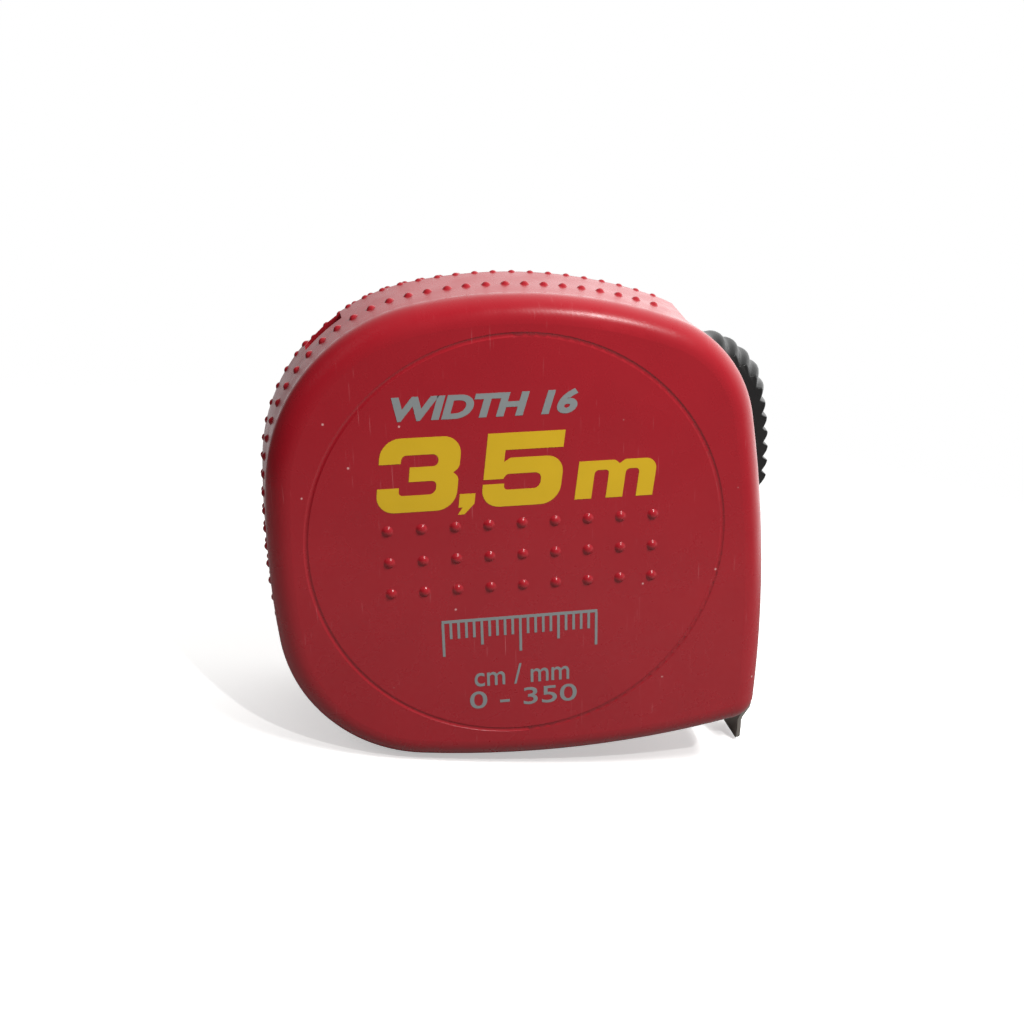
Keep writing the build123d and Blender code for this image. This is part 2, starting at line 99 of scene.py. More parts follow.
def add_node(tree, kind, inputs=None, **settings):
    """Adds one node. settings are its own properties, inputs are values or sockets to link."""
    made = tree.nodes.new(kind)
    for name, value in settings.items():
        setattr(made, name, value)
    for key, value in (inputs or {}).items():
        socket = made.inputs[key]
        if isinstance(value, bpy.types.NodeSocket):
            tree.links.new(value, socket)
        else:
            socket.default_value = value
    return made


def new_material(name):
    material = bpy.data.materials.new(name)
    material.use_nodes = True
    material.node_tree.nodes.clear()
    return material, material.node_tree


def finish_with(tree, shader):
    add_node(tree, "ShaderNodeOutputMaterial", {"Surface": shader.outputs[0]})


def piece_of(name, mesh, material, body, sharp=35.0):
    """Puts a finished mesh in the scene as a piece that rides on a body."""
    mesh.name = name
    piece = bpy.data.objects.new(name, mesh)
    bpy.context.scene.collection.objects.link(piece)
    mesh.shade_smooth()
    mesh.set_sharp_from_angle(angle=math.radians(sharp))
    mesh.materials.clear()
    mesh.materials.append(material)
    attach(piece, body)
    return piece


def dress(material, *nodes):
    """Gives CAD nodes their finish."""
    for node in nodes:
        mesh = frame["nodes"][node].data
        mesh.materials.clear()
        mesh.materials.append(material)


def mesh_from(shape):
    mesh = bpy.data.meshes.new("piece")
    bmesh.ops.recalc_face_normals(shape, faces=shape.faces)
    shape.to_mesh(mesh)
    shape.free()
    return mesh


def mesh_of_curve(curve):
    """Mesh of a text or an outline. The curve's own object doesn't stay in the scene."""
    holder = bpy.data.objects.new(curve.name, curve)
    bpy.context.scene.collection.objects.link(holder)
    bpy.context.view_layer.update()
    ready = holder.evaluated_get(bpy.context.evaluated_depsgraph_get())
    mesh = bpy.data.meshes.new_from_object(ready)
    bpy.data.objects.remove(holder)
    return mesh


def onto_face(x, z, raised, ink):
    """Point of printed ink on the labelled side: on its skin if raised, else at its foot."""
    spot = at(x, 0, z)
    spot.y = FACE_Y - (ink * MM if raised else -INK_FOOT * MM)
    return spot


def grid_faces(shape, rows, closed):
    """Joins neighbouring rows of vertices with quads. closed joins each row's ends too."""
    for low, high in zip(rows, rows[1:]):
        count = len(low)
        for i in range(count if closed else count - 1):
            j = (i + 1) % count
            shape.faces.new((low[i], low[j], high[j], high[i]))


# --- finishes ------------------------------------------------------------------------------

def moulded_plastic(name, colour, grain_mm, roughness, dust=0.0, scratches=0.0):
    """Injection-moulded ABS: a satin skin copied from a fine spark-eroded mould, which breaks the
    highlights up a little. Handling leaves faint scratches and a few specks of dust on it."""
    material, tree = new_material(name)
    where = add_node(tree, "ShaderNodeTexCoord").outputs["Object"]
    # flow of the melt: the pigment varies over about 9 mm
    flow = add_node(tree, "ShaderNodeTexNoise", {"Vector": where, "Scale": 1 / (9 * MM), "Detail": 3.0})
    darker = [c * 0.9 for c in linear(colour)[:3]] + [1.0]
    lighter = [min(c * 1.08, 1.0) for c in linear(colour)[:3]] + [1.0]
    shade = add_node(tree, "ShaderNodeMix", {"Factor": flow.outputs[0], 6: darker, 7: lighter},
                     data_type="RGBA")
    surface = shade.outputs[2]
    # rubbed places: the gloss varies over about 4 mm
    rubbed = add_node(tree, "ShaderNodeTexNoise", {"Vector": where, "Scale": 1 / (4 * MM), "Detail": 4.0})
    gloss = add_node(tree, "ShaderNodeMapRange", {"Value": rubbed.outputs[0], "From Min": 0.3,
                                                  "From Max": 0.7,
                                                  "To Min": roughness - 0.05, "To Max": roughness + 0.06})
    dull = gloss.outputs[0]
    if scratches:
        # hair scratches: 0.06 mm wide and some millimetres long, leaning 35 degrees
        lean = add_node(tree, "ShaderNodeMapping", {"Vector": where,
                                                    "Rotation": (0.0, math.radians(35), 0.0),
                                                    "Scale": (1 / (0.12 * MM), 1 / (3 * MM), 1 / (5 * MM))})
        hairs = add_node(tree, "ShaderNodeTexNoise", {"Vector": lean.outputs[0], "Scale": 1.0,
                                                      "Detail": 1.0})
        patches = add_node(tree, "ShaderNodeTexNoise", {"Vector": where, "Scale": 1 / (6 * MM),
                                                        "Detail": 2.0})
        thin = add_node(tree, "ShaderNodeMapRange", {"Value": hairs.outputs[0], "From Min": 0.72,
                                                     "From Max": 0.78})
        some = add_node(tree, "ShaderNodeMapRange", {"Value": patches.outputs[0], "From Min": 0.5,
                                                     "From Max": 0.62})
        mark = add_node(tree, "ShaderNodeMath", {0: thin.outputs[0], 1: some.outputs[0]},
                        operation="MULTIPLY")
        amount = add_node(tree, "ShaderNodeMath", {0: mark.outputs[0], 1: scratches}, operation="MULTIPLY")
        pale = linear("#D98A8C")
        shade = add_node(tree, "ShaderNodeMix", {"Factor": amount.outputs[0], 6: surface, 7: pale},
                         data_type="RGBA")
        surface = shade.outputs[2]
    if dust:
        # dust: specks of 0.15 to 0.3 mm, one in every few 3 mm cells
        cells = add_node(tree, "ShaderNodeTexVoronoi", {"Vector": where, "Scale": 1 / (3 * MM)})
        speck = add_node(tree, "ShaderNodeMapRange", {"Value": cells.outputs["Distance"], "From Min": 0.035,
                                                      "From Max": 0.06, "To Min": dust, "To Max": 0.0})
        pick = add_node(tree, "ShaderNodeSeparateColor", {0: cells.outputs["Color"]})
        rare = add_node(tree, "ShaderNodeMath", {0: pick.outputs[0], 1: 0.72}, operation="GREATER_THAN")
        spot = add_node(tree, "ShaderNodeMath", {0: speck.outputs[0], 1: rare.outputs[0]},
                        operation="MULTIPLY")
        grey = linear("#D8A9A6")
        shade = add_node(tree, "ShaderNodeMix", {"Factor": spot.outputs[0], 6: surface, 7: grey},
                         data_type="RGBA")
        surface = shade.outputs[2]
    # spark-eroded grain, real pits of about 0.03 mm are drawn at grain_mm so that they show
    grain = add_node(tree, "ShaderNodeTexNoise", {"Vector": where, "Scale": 1 / (grain_mm * MM),
                                                  "Detail": 2.0})
    bump = add_node(tree, "ShaderNodeBump", {"Height": grain.outputs[0], "Strength": 0.25,
                                             "Distance": 0.012 * MM})
    # marks of the mould cutter, about 0.25 mm apart, break strong highlights into short ticks
    cut = add_node(tree, "ShaderNodeMapping", {"Vector": where, "Rotation": (0.0, math.radians(25), 0.0)})
    marks = add_node(tree, "ShaderNodeTexWave", {"Vector": cut.outputs[0], "Scale": 0.314 / (0.25 * MM) / 2,
                                                 "Distortion": 3.0, "Detail": 1.0, "Detail Scale": 0.5})
    bump = add_node(tree, "ShaderNodeBump", {"Height": marks.outputs["Fac"], "Strength": 0.2,
                                             "Distance": 0.006 * MM,
                                             "Normal": bump.outputs[0]})
    shader = add_node(tree, "ShaderNodeBsdfPrincipled", {"Base Color": surface, "Roughness": dull,
                                                         "IOR": 1.54, "Normal": bump.outputs[0]})
    finish_with(tree, shader)
    return material


def worked_metal(name, colour, roughness, line_mm, axis):
    """Steel with a rolled, drawn or plated skin: fine lines along one axis stretch the highlights."""
    material, tree = new_material(name)
    where = add_node(tree, "ShaderNodeTexCoord").outputs["Object"]
    scale = [1 / (line_mm * MM)] * 3
    scale[axis] = 1 / (12 * MM)
    along = add_node(tree, "ShaderNodeMapping", {"Vector": where, "Scale": scale})
    lines = add_node(tree, "ShaderNodeTexNoise", {"Vector": along.outputs[0], "Scale": 1.0, "Detail": 3.0})
    cloud = add_node(tree, "ShaderNodeTexNoise", {"Vector": where, "Scale": 1 / (3 * MM), "Detail": 3.0})
    dull = add_node(tree, "ShaderNodeMapRange", {"Value": lines.outputs[0], "From Min": 0.3,
                                                 "From Max": 0.7,
                                                 "To Min": roughness - 0.06, "To Max": roughness + 0.08})
    dark = [c * 0.82 for c in linear(colour)[:3]] + [1.0]
    shade = add_node(tree, "ShaderNodeMix", {"Factor": cloud.outputs[0], 6: dark, 7: linear(colour)},
                     data_type="RGBA")
    bump = add_node(tree, "ShaderNodeBump", {"Height": lines.outputs[0], "Strength": 0.15,
                                             "Distance": 0.004 * MM})
    shader = add_node(tree, "ShaderNodeBsdfPrincipled", {"Base Color": shade.outputs[2], "Metallic": 1.0,
                                                         "Roughness": dull.outputs[0],
                                                         "Normal": bump.outputs[0]})
    finish_with(tree, shader)
    return material


def soft_skin(name, colour, roughness, patch_mm, depth_mm, ior=1.5):
    """Paint, ink, acetal or rubber: an even colour with slow changes of shade and a fine bloom."""
    material, tree = new_material(name)
    where = add_node(tree, "ShaderNodeTexCoord").outputs["Object"]
    patch = add_node(tree, "ShaderNodeTexNoise", {"Vector": where, "Scale": 1 / (patch_mm * MM),
                                                  "Detail": 4.0})
    dark = [c * 0.88 for c in linear(colour)[:3]] + [1.0]
    shade = add_node(tree, "ShaderNodeMix", {"Factor": patch.outputs[0], 6: dark, 7: linear(colour)},
                     data_type="RGBA")
    dull = add_node(tree, "ShaderNodeMapRange", {"Value": patch.outputs[0], "From Min": 0.3,
                                                 "From Max": 0.7,
                                                 "To Min": roughness - 0.04, "To Max": roughness + 0.05})
    bloom = add_node(tree, "ShaderNodeTexNoise", {"Vector": where, "Scale": 1 / (0.15 * MM), "Detail": 2.0})
    bump = add_node(tree, "ShaderNodeBump", {"Height": bloom.outputs[0], "Strength": 0.3,
                                             "Distance": depth_mm * MM})
    shader = add_node(tree, "ShaderNodeBsdfPrincipled", {"Base Color": shade.outputs[2], "IOR": ior,
                                                         "Roughness": dull.outputs[0],
                                                         "Normal": bump.outputs[0]})
    finish_with(tree, shader)
    return material


# --- settings ------------------------------------------------------------------------------

def size(name, default, description):
    return FloatProperty(name=name, default=default, min=0.0, description=description + ", in millimetres")


def hex_colour(name, default, description):
    return StringProperty(name=name, default=default, description=description + ", as an sRGB hex value")


class TapeCaseSettings(bpy.types.PropertyGroup):
    red: hex_colour("Case colour", "#9C1924", "Colour of the moulded shells")
    dot_pitch: size("Grip pitch", 2.36, "Distance from one grip dot to the next along the rim")
    dot_radius: size("Grip dot radius", 0.6, "Radius of a grip dot at its foot")
    dot_height: size("Grip dot height", 0.36, "Height of a grip dot over the band")
    row_gap: size("Row gap", 6.4, "Distance between the rows of grip dots across the case")
    face_pitch: size("Face pitch", 4.12, "Distance between the dots on the labelled side")
    face_radius: size("Face dot radius", 0.7, "Radius of a dot on the labelled side")
    face_height: size("Face dot height", 0.34, "Height of a dot on the labelled side")
    face_columns: IntProperty(name="Columns", default=9, min=1,
                              description="Dots in a row on the labelled side")
    face_rows: IntProperty(name="Rows", default=3, min=1, description="Rows of dots on the labelled side")


class TapePrintSettings(bpy.types.PropertyGroup):
    yellow: hex_colour("Length colour", "#D3AC1E", "Ink of the blade length")
    grey: hex_colour("Grey ink", "#868B8B", "Ink of the small lines and the ruler strip")
    ink: size("Ink thickness", 0.03, "How far the ink stands on the case")


class TapeButtonSettings(bpy.types.PropertyGroup):
    black: hex_colour("Button colour", "#151515", "Colour of the thumb lock")
    ridge_pitch: size("Ridge pitch", 2.0, "Distance from one ridge to the next")
    foot: size("Foot", 3.0, "Height of the lower end of the thumb rest over the reel axis")
    ridge_height: size("Ridge height", 0.7, "Depth of the hollows between the ridges")
    crown: size("Crown", 0.45, "How much the middle of the thumb rest stands over its ends at the front")
    top_crown: size("Top crown", 1.4, "How much more it does so where the front turns into the top")


class TapeHookSettings(bpy.types.PropertyGroup):
    sheet: size("Sheet thickness", 0.6, "Thickness of the hook's steel")
    bend: size("Bend radius", 0.9, "Outside radius of the hook's bend")
    plate_width: size("Plate width", 9.0, "Width of the plate under the blade")
    shoulder: size("Shoulder width", 13.0, "Width of the tab in front of the mouth")
    tip: size("Tip width", 6.4, "Width of the tab at its tip")


class TapeBladeSettings(bpy.types.PropertyGroup):
    yellow: hex_colour("Blade colour", "#E8C22A", "Lacquer of the blade")
    black: hex_colour("Scale ink", "#101010", "Ink of the graduations")
    width: size("Blade width", 16.0, "Width of the blade")
    sag: size("Blade sag", 2.2, "Depth of the curve across the blade")


class TapeStageSettings(bpy.types.PropertyGroup):
    lens: FloatProperty(name="Lens", default=35.156, unit="CAMERA",
                        description="Focal length, in millimetres")
    eye: FloatVectorProperty(name="Camera place", default=(-0.01563, -0.1286, 0.04444), subtype="XYZ",
                             precision=4,
                             description="Camera place from the reel axis, in metres")
    turn: FloatVectorProperty(name="Camera turn", default=(70.882, 1.205, -7.765), precision=3,
                              description="Camera rotation about X, Y and Z, in degrees")
    key: FloatProperty(name="Key light", default=0.42, unit="POWER",
                       description="Power of the large soft light, in watts")
    fill: FloatProperty(name="Fill light", default=0.25, unit="POWER",
                        description="Power of the lamp on the left, in watts")
    glint: FloatProperty(name="Small light", default=0.8, unit="POWER",
                         description="Power of the small light, in watts")
    air: FloatProperty(name="Room light", default=0.9, description="Strength of the light from the room")


# --- pieces --------------------------------------------------------------------------------

class TAPE_OT_case(bpy.types.Operator):
    """Finish the shells and the parts of the case"""
    bl_idname = "tape.case"
    bl_label = "Case"

    def execute(self, context):
        case = context.scene.tape_case
        red = moulded_plastic("red_moulded_abs", case.red, 0.22, 0.27, dust=0.8, scratches=0.35)
        dress(red, "left_shell", "right_shell")
        zinc = worked_metal("zinc_plated_steel", "#B9BCBF", 0.34, 0.15, 1)
        dress(zinc, "case_screws", "strap_pin", "spindle_post", "lock_pivot_pin", "hook_rivets",
              "blade_anchor")
        return {"FINISHED"}


def rim_surface():
    """Outside of both shells, for placing dots on it."""
    vertices, faces = [], []
    for name in ("left_shell", "right_shell"):
        mesh = frame["nodes"][name].data
        first = len(vertices)
        vertices += [v.co.copy() for v in mesh.vertices]
        faces += [[first + i for i in p.vertices] for p in mesh.polygons]
    return BVHTree.FromPolygons(vertices, faces)


def dome(shape, place, normal, radius, height, spokes=16):
    """Low round dot with a soft foot, standing on a surface."""
    turn = normal.to_track_quat("Z", "Y").to_matrix().to_4x4()
    frame_of = Matrix.Translation(place) @ turn
    profile = [(1.15, -0.12), (1.0, 0.03), (0.9, 0.17), (0.76, 0.42), (0.58, 0.69), (0.38, 0.88),
               (0.18, 0.98)]
    rows = []
    for out, up in profile:
        ring = []
        for i in range(spokes):
            angle = math.tau * i / spokes
            spot = Vector((out * radius * math.cos(angle), out * radius * math.sin(angle), up * height))
            ring.append(shape.verts.new(frame_of @ spot))
        rows.append(ring)
    grid_faces(shape, rows, True)
    top = shape.verts.new(frame_of @ Vector((0, 0, height)))
    last = rows[-1]
    for i in range(spokes):
        shape.faces.new((last[i], last[(i + 1) % spokes], top))
    shape.faces.new(list(reversed(rows[0])))


class TAPE_OT_grip_dots(bpy.types.Operator):
    """Moulded dots of the grip band: three rows, the middle one shifted by half a pitch"""
    bl_idname = "tape.grip_dots"
    bl_label = "Grip dots"

    def execute(self, context):
        case = context.scene.tape_case
        rim = rim_surface()
        first, last = 52.5, 213.0           # ends of the band, in degrees round the reel axis
        tail = 22                           # degrees over which the dots grow lower at the rear
        lowest = 0.25                       # share of their height at the very end
        steps = int((last - first) * 10)    # ten looks per degree
        far = 60 * MM                       # outside of the case
        pocket = 27 * MM                    # nearer than this is the strap pocket
        shape = bmesh.new()
        for row in (-1, 0, 1):
            across = row * case.row_gap * MM
            travelled, before = (0.5 if row == 0 else 0.0) * case.dot_pitch * MM, None
            for step in range(steps):
                degrees = first + (last - first) * step / steps
                out = Vector((math.cos(math.radians(degrees)), 0, math.sin(math.radians(degrees))))
                start = REEL + out * far + Vector((0, across, 0))
                place, normal, _, _ = rim.ray_cast(start, -out)
                if place is None:
                    raise RuntimeError("a grip dot found no rim to stand on")
                if (place - REEL - Vector((0, across, 0))).length < pocket:
                    before = place
                    continue
                travelled += (place - before).length if before else 0.0
                before = place
                if travelled >= case.dot_pitch * MM:
                    travelled -= case.dot_pitch * MM
                    fade = min(1.0, max(lowest, (last - degrees) / tail))
                    dome(shape, place, normal, case.dot_radius * MM, case.dot_height * fade * MM)
        piece_of("grip_dots", mesh_from(shape), bpy.data.materials["red_moulded_abs"], "case",
                 60)
        return {"FINISHED"}


class TAPE_OT_face_dots(bpy.types.Operator):
    """Rows of small moulded dots on the labelled side"""
    bl_idname = "tape.face_dots"
    bl_label = "Face dots"

    def execute(self, context):
        case = context.scene.tape_case
        shape = bmesh.new()
        middle_x, middle_z = 0.38, -1.23    # middle of the grid, from the reel axis
        for row in range(case.face_rows):
            for column in range(case.face_columns):
                x = middle_x + (column - (case.face_columns - 1) / 2) * case.face_pitch
                z = middle_z + (row - (case.face_rows - 1) / 2) * case.face_pitch
                spot = at(x, 0, z)
                spot.y = FACE_Y
                dome(shape, spot, Vector((0, -1, 0)), case.face_radius * MM, case.face_height * MM, 24)
        piece_of("face_dots", mesh_from(shape), bpy.data.materials["red_moulded_abs"], "case",
                 60)
        return {"FINISHED"}


def printed_words(name, words, left, right, low, high, slant, weight, ink, material):
    """Raised ink lettering on the labelled side, fitted into a box given from the reel axis."""
    curve = bpy.data.curves.new(name, "FONT")
    curve.body = words
    curve.offset = weight
    curve.shear = slant
    curve.extrude = 0.01
    curve.resolution_u = 8
    mesh = mesh_of_curve(curve)
    xs, ys = [v.co.x for v in mesh.vertices], [v.co.y for v in mesh.vertices]
    wide, tall = (right - left) / (max(xs) - min(xs)), (high - low) / (max(ys) - min(ys))
    for vertex in mesh.vertices:
        u = left + (vertex.co.x - min(xs)) * wide
        v = low + (vertex.co.y - min(ys)) * tall
        vertex.co = onto_face(u, v, vertex.co.z > 0, ink)
    shape = bmesh.new()
    shape.from_mesh(mesh)
    bmesh.ops.remove_doubles(shape, verts=shape.verts, dist=0.002 * MM)
    return piece_of(name, mesh_from(shape), material, "case", sharp=30)


def rounded(corners):
    """Outline with rounded corners from (x, z, radius) points."""
    outline = []
    for i, (x, z, radius) in enumerate(corners):
        here = Vector((x, z))
        if radius == 0:
            outline.append(here)
            continue
        before = Vector(corners[i - 1][:2]) - here
        after = Vector(corners[(i + 1) % len(corners)][:2]) - here
        turn = before.angle(after)
        reach = radius / math.tan(turn / 2)
        middle = (before.normalized() + after.normalized()).normalized()
        centre = here + middle * radius / math.sin(turn / 2)
        start = here + before.normalized() * reach - centre
        sweep = start.angle_signed(here + after.normalized() * reach - centre)
        for part in range(9):
            outline.append(centre + Matrix.Rotation(-sweep * part / 8, 2) @ start)
    return outline


def printed_figures(name, figures, slant, ink, material):
    """Figures drawn as outlines. Each entry is the place of its lower left corner and its corners."""
    curve = bpy.data.curves.new(name, "CURVE")
    curve.dimensions, curve.fill_mode = "2D", "BOTH"
    for x, z, corners in figures:
        outline = rounded(corners)
        spline = curve.splines.new("POLY")
        spline.points.add(len(outline) - 1)
        for point, spot in zip(spline.points, outline):
            point.co = (x + spot.x + slant * spot.y, z + spot.y, 0, 1)
        spline.use_cyclic_u = True
    curve.extrude = 0.01
    mesh = mesh_of_curve(curve)
    for vertex in mesh.vertices:
        vertex.co = onto_face(vertex.co.x, vertex.co.y, vertex.co.z > 0, ink)
    return piece_of(name, mesh, material, "case", sharp=30)


def bar_of_ink(shape, left, right, low, high, ink):
    """Upright bar of ink between two sides and two heights."""
    corners = []
    for raised in (False, True):
        for x, z in ((left, low), (right, low), (right, high), (left, high)):
            corners.append(shape.verts.new(onto_face(x, z, raised, ink)))
    back, front = corners[:4], corners[4:]
    shape.faces.new(back)
    shape.faces.new(front)
    grid_faces(shape, [back, front], True)


class TAPE_OT_print(bpy.types.Operator):
    """Screen-printed length, width and a short ruler strip on the labelled side"""
    bl_idname = "tape.print"
    bl_label = "Print"

    def execute(self, context):
        look = context.scene.tape_print
        yellow = soft_skin("yellow_screen_ink", look.yellow, 0.42, 5.0, 0.004)
        grey = soft_skin("grey_screen_ink", look.grey, 0.42, 5.0, 0.004)
        printed_words("print_width", "WIDTH 16", -14.7, 7.4, 16.4, 19.4, 0.25, 0.045, look.ink, grey)
        # figures as outlines of (x, z, corner radius): width, height, bar, stem and height of the m
        wide, tall, bar, stem, low = 9.65, 9.2, 2.1, 2.6, 4.8
        three = [(0, tall, 2.3), (wide, tall, 2.3), (wide, 5.3, 1.0), (wide - 0.7, 4.7, 0),
                 (wide, 4.1, 1.0), (wide, 0, 2.3), (0, 0, 2.3), (0, 3.1, 0), (stem, 3.1, 0),
                 (stem, bar, 0.5), (wide - stem, bar, 0.8), (wide - stem, 3.8, 0.6), (3.7, 3.8, 0),
                 (3.7, 5.6, 0), (wide - stem, 5.6, 0.6), (wide - stem, tall - bar, 0.8),
                 (stem, tall - bar, 0.6), (stem, 6.1, 0), (0, 6.1, 0)]
        five = [(0, tall, 0), (wide - 0.3, tall, 0), (wide - 0.3, tall - bar, 0),
                (stem - 0.3, tall - bar, 0), (stem - 0.3, 5.6, 0), (stem + 0.4, 6.1, 0.4),
                (wide, 6.1, 2.2), (wide, 0, 2.3), (0, 0, 2.3), (0, 2.9, 0), (stem, 2.9, 0),
                (stem, bar, 0.5), (wide - stem, bar, 0.8), (wide - stem, 4.1, 0.8),
                (stem + 0.2, 4.1, 0.5), (stem - 0.2, 3.5, 0), (0, 3.5, 0)]
        metre = [(0, low, 0), (4.5, low, 0.9), (5.1, low - 0.5, 0), (5.7, low, 0.9), (9.8, low, 1.5),
                 (9.8, 0, 0), (7.7, 0, 0), (7.7, low - 1.2, 0.5), (6.0, low - 1.2, 0.5), (6.0, 0, 0),
                 (3.9, 0, 0), (3.9, low - 1.2, 0.5), (2.1, low - 1.2, 0.5), (2.1, 0, 0), (0, 0, 0)]
        comma = [(0, 1.9, 0), (1.9, 1.9, 0), (1.9, 0.6, 0), (0.8, -0.7, 0), (0, -0.7, 0), (0.5, 0.2, 0),
                 (0, 0.2, 0)]
        printed_figures("print_length", [(-17.4, 5.2, three), (-7.4, 5.2, comma), (-4.7, 5.2, five),
                                         (6.9, 5.5, metre)], 0.13, look.ink, yellow)
        printed_words("print_scale", "cm / mm", -6.2, 6.2, -19.2, -16.3, 0.0, 0.006, look.ink, grey)
        printed_words("print_range", "0 - 350", -6.9, 7.2, -22.4, -19.9, 0.0, 0.006, look.ink, grey)
        shape = bmesh.new()
        bar_of_ink(shape, -10.1, 9.9, -9.9, -9.5, look.ink)
        for step in range(21):
            x = -9.95 + step * 0.985
            length = 4.6 if step % 10 == 0 else 3.3 if step % 5 == 0 else 2.2
            bar_of_ink(shape, x - 0.17, x + 0.17, -9.9 - length, -9.9, look.ink)
        piece_of("print_ruler", mesh_from(shape), grey, "case", sharp=30)
        return {"FINISHED"}


def arc_points(centre, radius, start, end, step):
    """Points on an arc from angle start to angle end, about step apart, in millimetres."""
    count = max(2, round(abs(end - start) * radius / step))
    return [(centre[0] + radius * math.cos(start + (end - start) * i / count),
             centre[1] + radius * math.sin(start + (end - start) * i / count)) for i in range(count + 1)]


def thumb_line(foot_z):
    """Side line of the thumb rest from its foot to its rear end: a bowed front, a round corner and a
    round top. Millimetres from the reel axis, with the way that points out of the button."""
    front, front_r = Vector((-5.5, 6.5)), 40.0
    top, top_r = Vector((20.0, 7.5)), 16.0
    corner_r = 8.0
    step = 0.12
    # the corner's centre lies corner_r inside both arcs
    a, b = front_r - corner_r, top_r - corner_r
    apart = (top - front).length
    along = (a * a - b * b + apart * apart) / (2 * apart)
    aside = math.sqrt(a * a - along * along)
    way = (top - front) / apart
    corner = front + way * along + Vector((-way.y, way.x)) * aside
    foot = math.asin((foot_z - front.y) / front_r)
    turn_1 = math.atan2(corner.y - front.y, corner.x - front.x)
    turn_2 = math.atan2(corner.y - top.y, corner.x - top.x)
    rear = math.acos((LOCK_REAR - top.x) / top_r)
    line = arc_points(front, front_r, foot, turn_1, step)
    line += arc_points(corner, corner_r, turn_1, turn_2, step)[1:]
    line += arc_points(top, top_r, turn_2, rear, step)[1:]
    return line


def box_shape(shape, left, right, front, back, low, high):
    """Plain block between six planes, in millimetres from the reel axis."""
    corners = [shape.verts.new(at(x, y, z)) for x, y, z in (
        (left, front, low), (right, front, low), (right, front, high), (left, front, high),
        (left, back, low), (right, back, low), (right, back, high), (left, back, high))]
    near, far = corners[:4], corners[4:]
    shape.faces.new(near)
    shape.faces.new(far)
    grid_faces(shape, [near, far], True)


class TAPE_OT_thumb_lock(bpy.types.Operator):
    """Black thumb lock with scalloped ridges, crowned across its width"""
    bl_idname = "tape.thumb_lock"
    bl_label = "Thumb lock"

    def execute(self, context):
        look = context.scene.tape_button
        black = moulded_plastic("black_moulded_abs", look.black, 0.3, 0.42, dust=0.25)
        line = [Vector(p) for p in thumb_line(look.foot)]
        lengths = [0.0]
        for p, q in zip(line, line[1:]):
            lengths.append(lengths[-1] + (q - p).length)
        ridges = round(lengths[-1] / look.ridge_pitch)
        half = 5.5                  # half of the button's width
        base = 0.35                 # skin over the side line, in which the hollows are cut
        steep = 0.78                # share of the pitch on a tooth's long side
        # the rear end dives under the case's rim, from a lean of 56 degrees on
        dive, dive_from, dive_over = 1.9, math.radians(56), math.radians(21)
        bottom = 2.5                # height of the rest's underside
        steps = [-1.0, -0.985, -0.95, -0.9, -0.82, -0.7, -0.56, -0.38, -0.19, 0.0,
                 0.19, 0.38, 0.56, 0.7, 0.82, 0.9, 0.95, 0.985, 1.0]
        inside = [(LOCK_REAR, bottom), (31.4, bottom)]
        shape = bmesh.new()
        rows = []
        for step in steps:
            blunt = 1 - abs(step) ** 4
            edge = 0.12 if abs(step) == 1.0 else 0.0
            row = []
            for i, p in enumerate(line):
                before, after = line[max(i - 1, 0)], line[min(i + 1, len(line) - 1)]
                way = (after - before).normalized()
                out = Vector((way.y, -way.x))
                lean = math.atan2(out.y, out.x)
                sink = dive * max(0.0, (lean - dive_from) / dive_over) ** 1.6
                arch = 1 - abs(step) ** 2.4         # from the edges to the middle of the width
                rise = look.top_crown * max(math.sin(2 * lean), 0.0)
                crown = (look.crown + rise) * arch - sink
                # the edge has hooked teeth with their tips up, the middle has soft waves
                phase = lengths[i] / lengths[-1] * ridges % 1.0
                if phase < steep:
                    tooth = 1 - math.sin(math.pi / 2 * phase / steep)
                else:
                    tooth = ((phase - steep) / (1 - steep)) ** 0.7
                wave = 0.5 + 0.5 * math.cos(math.tau * (phase - 0.1))
                hollow = look.ridge_height * (tooth * (1 - blunt) + 0.7 * wave * blunt)
                spot = p + out * (base + crown - hollow - edge)
                row.append(shape.verts.new(at(spot.x, step * half, spot.y)))
            for x, z in inside:
                row.append(shape.verts.new(at(x + (edge if x < 25 else 0), step * half, z + edge)))
            rows.append(row)
        grid_faces(shape, rows, True)
        shape.faces.new(rows[0])
        shape.faces.new(rows[-1])
        box_shape(shape, 19.1, 24.6, -half, half, 20.9, 22.1)       # tail that closes the slot
        lock = piece_of("thumb_lock", mesh_from(shape), black, "button", 42)
        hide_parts("lock_button")
        return {"FINISHED"}


def blade_section(offset, y, width, sag):
    """Height of the blade's curve at y across it, offset below or above its underside. Millimetres,
    from the blade's lowest line."""
    radius = (width * width / 4 + sag * sag) / (2 * sag) - offset
    return offset + radius - math.sqrt(max(radius * radius - y * y, 0.0))


